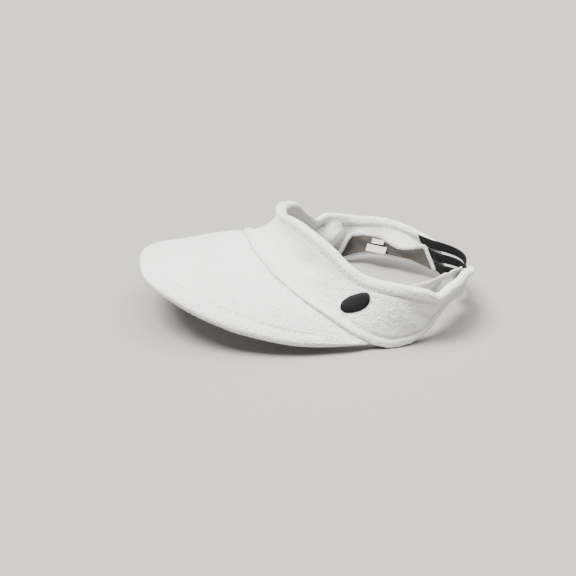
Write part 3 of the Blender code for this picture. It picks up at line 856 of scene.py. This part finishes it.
def camera():
    azimuth, elevation = np.radians(VIEW_AZIMUTH), np.radians(VIEW_ELEVATION)
    flat = np.cos(elevation)
    back = Vector((np.sin(azimuth) * flat, -np.cos(azimuth) * flat, np.sin(elevation)))
    data = bpy.data.cameras.new("camera")
    data.lens = 50
    data.sensor_width = 36
    data.clip_start = 0.01
    obj = bpy.data.objects.new("camera", data)
    obj.location = Vector(VIEW_TARGET) + back * VIEW_DISTANCE
    obj.rotation_euler = (-back).to_track_quat("-Z", "Y").to_euler()
    bpy.context.scene.collection.objects.link(obj)
    bpy.context.scene.camera = obj


# ---- assembly -----------------------------------------------------------------------------------
for side_name, sign in (("left", 1), ("right", -1)):
    # Two places on each side, 84 and 100 degrees round the head, worked out and not used.
    tuple(band_point(sign * 84.0, 0.02, 0.0))
    tuple(band_point(sign * 100.0, 0.02, 0.0))


def bend(obj, side, slot, *nodes):
    """Bake obj's placement into its mesh and hide the CAD parts it stands in for."""
    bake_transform(obj)
    if nodes:
        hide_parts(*nodes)


def put(obj, body, slot, *nodes):
    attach(obj, body)
    if nodes:
        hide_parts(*nodes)


def build():
    terry = terry_material()
    # the sweatband's dark weave is painted shade: a darkened copy of its pale facing, standing for the shadow
    # inside the band
    sweat = woven_material("sweatband_painted_shade", (0.050, 0.043, 0.037), (0.082, 0.071, 0.061), 900.0)
    facing = woven_material("sweatband_facing", (0.62, 0.61, 0.57), (0.74, 0.73, 0.69), 800.0)
    tape = woven_material("edge_tape", (0.52, 0.50, 0.46), (0.62, 0.60, 0.56), 700.0)
    felt = woven_material("interlining_felt", (0.72, 0.71, 0.67), (0.80, 0.79, 0.75), 500.0)
    white = thread_material("white_thread_twist", (0.72, 0.72, 0.69), (0.86, 0.86, 0.83), 0.7, 0.2)
    satin = thread_material("black_satin_thread", (0.0025, 0.0025, 0.003), (0.008, 0.008, 0.009), 0.6, 0.0)
    ribbon = woven_material("label_ribbon", (0.62, 0.60, 0.56), (0.72, 0.70, 0.66), 1200.0, 0.6, 0.2)
    elastic = elastic_material()

    left, right = terry_band(terry)
    bend(left, "left", "white_terry", "front_panel", "front_top_hem",
         "left_side_panel", "left_top_hem", "left_bottom_hem")
    bend(right, "right", "white_terry", "right_side_panel", "right_top_hem", "right_bottom_hem")
    for (cloth, edge), side in zip(sweatband(sweat, facing, tape), ("left", "right")):
        front = ("front_sweatband",) if side == "left" else ()
        front_tape = ("front_sweatband_tape",) if side == "left" else ()
        bend(cloth, side, "sweatband_cloth", f"{side}_sweatband", *front)
        bend(edge, side, "sweatband_cloth", f"{side}_sweatband_tape", *front_tape)
    pad = front_pad(felt)
    put(pad, "root", "foam", "front_foam")

    for side, sign in (("left", 1), ("right", -1)):
        front = ("front_hem_stitching",) if side == "left" else ()
        hem = band_seam(f"hem_stitches_{side}", CUT, sign * SEAM_END, HEM, white)
        bend(hem, side, "white_thread", f"{side}_hem_stitching", *front)
        low = band_seam(f"bottom_hem_stitches_{side}", sign * LOW_SEAM_START, sign * SEAM_END,
                        BOTTOM_HEM, white, False)
        bend(low, side, "white_thread")
        tack = end_seam(f"end_stitches_{side}", sign, white)
        put(tack, f"{side}_side", "white_thread", f"{side}_end_tack")

    for i, level in enumerate(("lower", "middle", "upper")):
        low_edge = STRAND_LOW + i * (STRAND_WIDTH + STRAND_SLIT)
        for piece, side, sign in zip(strand(level, low_edge, elastic), ("left", "right"), (1, -1)):
            end = band_point(sign * (BAND_END - 1.0), low_edge + STRAND_WIDTH / 2, STRAND_OFFSET, lining=True)
            start, end = (-0.148 * sign, end[1], end[2]), (0.030 * sign, end[1], end[2])
            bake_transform(piece)
            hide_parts(f"elastic_{level}")

    for name, sign, spacing, node in (("peak_terry_top", 1, CELL, "peak_top_cover"),
                                      ("peak_terry_under", -1, CELL * 1.25, "peak_under_cover")):
        cover = peak_cover(name, sign, spacing, terry)
        put(cover, "root", "white_terry", node)
    put(peak_stitches(white, 1, "peak_stitches_top"), "root", "white_thread", "peak_topstitching")
    put(peak_stitches(white, -1, "peak_stitches_under"), "root", "white_thread")
    put(mark(satin), "root", "black_embroidery", "side_mark")
    put(ribbon_label("care_ribbon", "care_label", ribbon, 0.0006), "label", "label_cloth", "care_label")
    put(ribbon_label("size_ribbon", "size_tab", ribbon, 0.0003), "right_side", "label_cloth", "size_tab")
    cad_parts["peak_board"].data.materials.clear()
    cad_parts["peak_board"].data.materials.append(board_material())


camera()
stage()
build()
